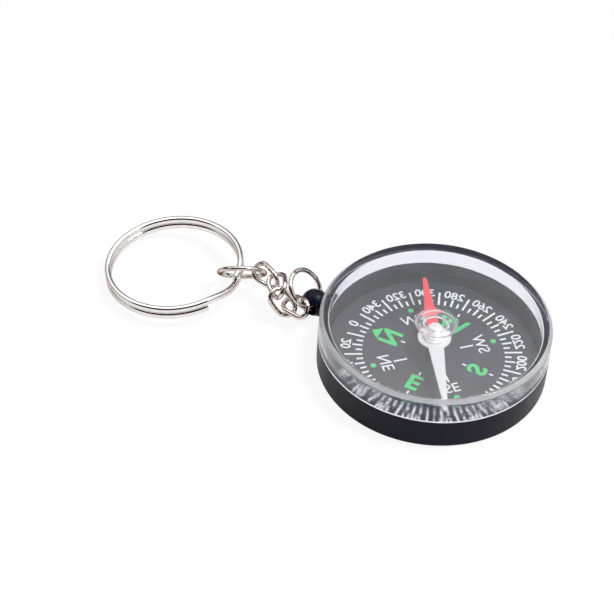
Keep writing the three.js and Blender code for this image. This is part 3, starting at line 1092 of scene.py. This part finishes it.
def floor_material():
    """White paper: brightest to the eye and through glass, pale grey in metal, and plain where it lights."""
    material = bpy.data.materials.new("white_paper")
    material.use_nodes = True
    tree = material.node_tree
    tree.nodes.clear()
    lighting = glowing_paper(tree, FLOOR_COLOUR, glow=0)
    reflected = glowing_paper(tree, TABLE_COLOUR, TABLE_GLOW)
    seen = glowing_paper(tree, FLOOR_COLOUR, FLOOR_GLOW)
    surface = mixed(tree, mirrored_rays(tree), lighting, reflected)
    surface = mixed(tree, plain_rays(tree), surface, seen)
    output = tree.nodes.new("ShaderNodeOutputMaterial")
    tree.links.new(surface, output.inputs["Surface"])
    return material


def add_floor():
    shape = bmesh.new()
    bmesh.ops.create_grid(shape, size=FLOOR_SIZE / 2)
    bmesh.ops.translate(shape, vec=(0, 0, foot_of("base_case") - FLOOR_DROP), verts=shape.verts)
    mesh = finished_mesh("floor", shape, smooth=False)
    mesh.materials.append(floor_material())
    floor = bpy.data.objects.new("floor", mesh)
    bpy.context.collection.objects.link(floor)


def direction(azimuth, elevation):
    a, e = math.radians(azimuth), math.radians(elevation)
    return Vector((math.cos(a) * math.cos(e), math.sin(a) * math.cos(e), math.sin(e)))


def closeness(tree, towards):
    """Cosine of the angle between the looked-at part of the surroundings and a direction."""
    place = tree.nodes.new("ShaderNodeTexCoord")
    facing = tree.nodes.new("ShaderNodeVectorMath")
    facing.operation = "DOT_PRODUCT"
    facing.inputs[1].default_value = towards
    tree.links.new(place.outputs["Generated"], facing.inputs[0])
    return facing.outputs["Value"]


def smooth_share(tree, value, none, full):
    """0 where a value is none, and 1 where it is full."""
    share = tree.nodes.new("ShaderNodeMapRange")
    share.interpolation_type = "SMOOTHSTEP"
    share.inputs["From Min"].default_value = none
    share.inputs["From Max"].default_value = full
    tree.links.new(value, share.inputs["Value"])
    return share.outputs["Result"]


def zone(tree, azimuth, elevation, inner, outer):
    """1 inside a round part of the surroundings, and 0 outside it."""
    value = closeness(tree, direction(azimuth, elevation))
    return smooth_share(tree, value, math.cos(math.radians(outer)), math.cos(math.radians(inner)))


def above_horizon(tree):
    """0 along the horizon, and 1 higher up."""
    low, high = math.sin(math.radians(HORIZON_DARK)), math.sin(math.radians(HORIZON_WHITE))
    return smooth_share(tree, closeness(tree, (0, 0, 1)), low, high)


def background(tree, colour, strength=1.0):
    node = tree.nodes.new("ShaderNodeBackground")
    node.inputs["Color"].default_value = (*colour, 1)
    node.inputs["Strength"].default_value = strength
    return node.outputs["Background"]


def mixed(tree, share, first, second):
    node = tree.nodes.new("ShaderNodeMixShader")
    tree.links.new(share, node.inputs["Fac"])
    tree.links.new(first, node.inputs[1])
    tree.links.new(second, node.inputs[2])
    return node.outputs["Shader"]


def add_world():
    """A white studio. Shiny surfaces also show a softbox, a dim horizon, a dark side and a dim one."""
    world = bpy.data.worlds.new("studio")
    bpy.context.scene.world = world
    world.use_nodes = True
    tree = world.node_tree
    tree.nodes.clear()
    white = background(tree, WHITE)
    room = mixed(tree, above_horizon(tree), background(tree, HORIZON_COLOUR), white)
    room = mixed(tree, zone(tree, *DARK_ZONE), room, background(tree, DARK_COLOUR))
    room = mixed(tree, zone(tree, *SOFTBOX_ZONE), room, background(tree, WHITE, SOFTBOX_LEVEL))
    room = mixed(tree, zone(tree, *FAR_ZONE), room, background(tree, FAR_COLOUR))
    light = mixed(tree, mirrored_rays(tree), background(tree, WHITE, FILL_LEVEL), room)
    output = tree.nodes.new("ShaderNodeOutputWorld")
    tree.links.new(mixed(tree, plain_rays(tree), light, white), output.inputs["Surface"])


def add_lamp(name, towards, distance, size, power):
    lamp = bpy.data.lights.new(name, "AREA")
    lamp.shape = "DISK"
    lamp.size = size * MM
    lamp.energy = power
    holder = bpy.data.objects.new(name, lamp)
    holder.location = Vector(towards).normalized() * distance * MM
    holder.rotation_mode = "QUATERNION"
    holder.rotation_quaternion = Vector(towards).to_track_quat("Z", "Y")
    bpy.context.collection.objects.link(holder)


def add_camera():
    camera = bpy.data.cameras.new("camera")
    camera.sensor_width = SENSOR_WIDTH
    camera.lens = SENSOR_WIDTH * FOCAL_PIXELS / PICTURE_WIDTH
    camera.clip_start = CAMERA_NEAREST * MM
    holder = bpy.data.objects.new("camera", camera)
    place, aim = Vector(CAMERA_PLACE) * MM, Vector(CAMERA_AIM) * MM
    look = (aim - place).to_track_quat("-Z", "Y")
    holder.location = place
    holder.rotation_mode = "QUATERNION"
    holder.rotation_quaternion = look @ Quaternion((0, 0, 1), math.radians(CAMERA_ROLL))
    bpy.context.collection.objects.link(holder)
    bpy.context.scene.camera = holder


add_camera()
add_floor()
add_world()
add_lamp("key", KEY_DIRECTION, KEY_DISTANCE, KEY_SIZE, KEY_POWER)
bpy.context.scene.view_settings.view_transform = "Standard"

add_cup(black_plastic())
add_lens({
    "side": clear_acrylic(),
    "plate": handled_acrylic(),
    "inner_wall": turned_acrylic(),
    "moulded_ring": moulded_acrylic(),
    "bevel": bevel_acrylic(),
})
add_dial(card_stock(), ink("white_ink", WHITE_INK_COLOURS), ink("green_ink", GREEN_INK_COLOURS))
add_needle(
    enamel("red_enamel", RED_ENAMEL_COLOURS),
    enamel("white_enamel", WHITE_ENAMEL_COLOURS),
    bright_metal("turned_cap_metal", CAP_COLOURS, CAP_ROUGHNESS, PALE_EDGE_TINT),
)
dress_pin(bright_metal("ground_pin_steel", PIN_COLOURS, PIN_ROUGHNESS, PALE_EDGE_TINT))
add_chain(
    # Warm nickel whose darker colours and edge tint are painted shade where the links shade each other.
    bright_metal("nickel_with_painted_shade", CHAIN_COLOURS_WITH_PAINTED_SHADE, CHAIN_ROUGHNESS, PAINTED_SHADE_EDGE_TINT),
    bright_metal("polished_nickel", SPLIT_COLOURS, SPLIT_ROUGHNESS, PALE_EDGE_TINT),
)
